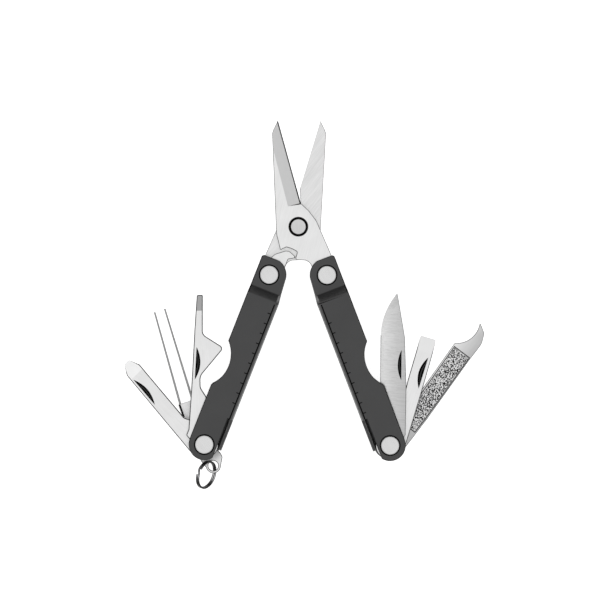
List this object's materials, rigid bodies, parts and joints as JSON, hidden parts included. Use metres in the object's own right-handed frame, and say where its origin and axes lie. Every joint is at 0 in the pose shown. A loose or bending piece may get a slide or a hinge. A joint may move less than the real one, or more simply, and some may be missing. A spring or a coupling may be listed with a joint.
{
  "type": "multi tool",
  "caption": "Pocket multi-tool with spring scissors, two folding channel handles, knife, drivers, nail file, bottle opener, tweezers and a key ring.",
  "frame": {"origin": "middle of the tool's width and length, on the level that it lies on", "axes": "+Z is the tool's thickness, +Y points to the scissor tips, +X to the knife side"},
  "size_m": [0.1077, 0.1105, 0.0108],
  "materials": {
    "handle_coating": "satin dark grey coating",
    "blade_steel": "fine ground steel",
    "tool_steel": "fine brushed steel",
    "file_steel": "steel with a coarse abrasive face",
    "pivot_steel": "satin",
    "rivet_steel": "satin with a serrated rim",
    "ring_chrome": "polished",
    "spacer_steel": "turned"
  },
  "bodies": {
    "back_scissor": {"scissor_back_half": "blade_steel", "scissor_pivot_post": "pivot_steel", "scissor_pivot_cap": "pivot_steel"},
    "front_scissor": {"scissor_front_half": "blade_steel"},
    "spring": {"scissor_spring": "blade_steel"},
    "left_frame": {"left_handle": "handle_coating", "left_scissor_rivet_post": "rivet_steel", "left_scissor_rivet_cap": "rivet_steel", "left_tool_rivet_post": "rivet_steel", "left_tool_rivet_cap": "rivet_steel", "left_tool_spacer": "spacer_steel"},
    "right_frame": {"right_handle": "handle_coating", "right_scissor_rivet_post": "rivet_steel", "right_scissor_rivet_cap": "rivet_steel", "right_scissor_spacer": "spacer_steel", "right_tool_rivet_post": "rivet_steel", "right_tool_rivet_cap": "rivet_steel", "right_tool_spacers": "spacer_steel"},
    "opener": {"bottle_opener": "tool_steel"},
    "cross_driver": {"cross_point_driver": "tool_steel"},
    "tweezer_pair": {"tweezers": "tool_steel"},
    "ring_tab": {"key_ring_tab": "tool_steel"},
    "key_ring": {"split_ring": "ring_chrome"},
    "knife": {"knife_blade": "blade_steel"},
    "driver": {"flat_driver": "tool_steel"},
    "file": {"nail_file": "file_steel"}
  },
  "joints": [
    {"name": "scissor_close", "type": "hinge", "parent": "back_scissor", "child": "front_scissor", "pos_m": [-0.0017, 0.0234, 0.0054], "axis": [0, 0, -1], "range_deg": [0, 25.5], "stiffness_Nm_per_rad": 0.2, "springref_deg": -11.46},
    {"name": "spring_follow", "type": "hinge", "parent": "back_scissor", "child": "spring", "pos_m": [-0.0104, 0.00903, 0.0054], "axis": [0, 0, 1], "range_deg": [0, 24.5]},
    {"name": "left_handle_fold", "type": "hinge", "parent": "back_scissor", "child": "left_frame", "pos_m": [-0.0104, 0.00903, 0.0054], "axis": [0, 0, -1], "range_deg": [0, 165]},
    {"name": "right_handle_fold", "type": "hinge", "parent": "front_scissor", "child": "right_frame", "pos_m": [0.00685, 0.00894, 0.0054], "axis": [0, 0, 1], "range_deg": [0, 165]},
    {"name": "opener_fold", "type": "hinge", "parent": "left_frame", "child": "opener", "pos_m": [-0.02964, -0.04143, 0.0054], "axis": [0, 0, -1], "range_deg": [-156.7, 18.8]},
    {"name": "cross_driver_fold", "type": "hinge", "parent": "left_frame", "child": "cross_driver", "pos_m": [-0.02964, -0.04143, 0.0054], "axis": [0, 0, -1], "range_deg": [-84, 62.7]},
    {"name": "tweezers_fold", "type": "hinge", "parent": "left_frame", "child": "tweezer_pair", "pos_m": [-0.02964, -0.04143, 0.0054], "axis": [0, 0, -1], "range_deg": [-120, 40.5]},
    {"name": "ring_tab_swing", "type": "hinge", "parent": "left_frame", "child": "ring_tab", "pos_m": [-0.02964, -0.04143, 0.0054], "axis": [0, 0, -1], "range_deg": [0, 80]},
    {"name": "key_ring_swing", "type": "hinge", "parent": "ring_tab", "child": "key_ring", "pos_m": [-0.02726, -0.04834, 0.00185], "axis": [0, 0, -1], "range_deg": [-60, 38]},
    {"name": "knife_fold", "type": "hinge", "parent": "right_frame", "child": "knife", "pos_m": [0.02556, -0.04172, 0.0054], "axis": [0, 0, 1], "range_deg": [-156.2, 20.8]},
    {"name": "flat_driver_fold", "type": "hinge", "parent": "right_frame", "child": "driver", "pos_m": [0.02556, -0.04172, 0.0054], "axis": [0, 0, 1], "range_deg": [-139.4, 38.1]},
    {"name": "nail_file_fold", "type": "hinge", "parent": "right_frame", "child": "file", "pos_m": [0.02556, -0.04172, 0.0054], "axis": [0, 0, 1], "range_deg": [-122.2, 57.8]}
  ],
  "couplings": [
    {"joint": "spring_follow", "follows": "scissor_close", "ratio": 0.95}
  ]
}
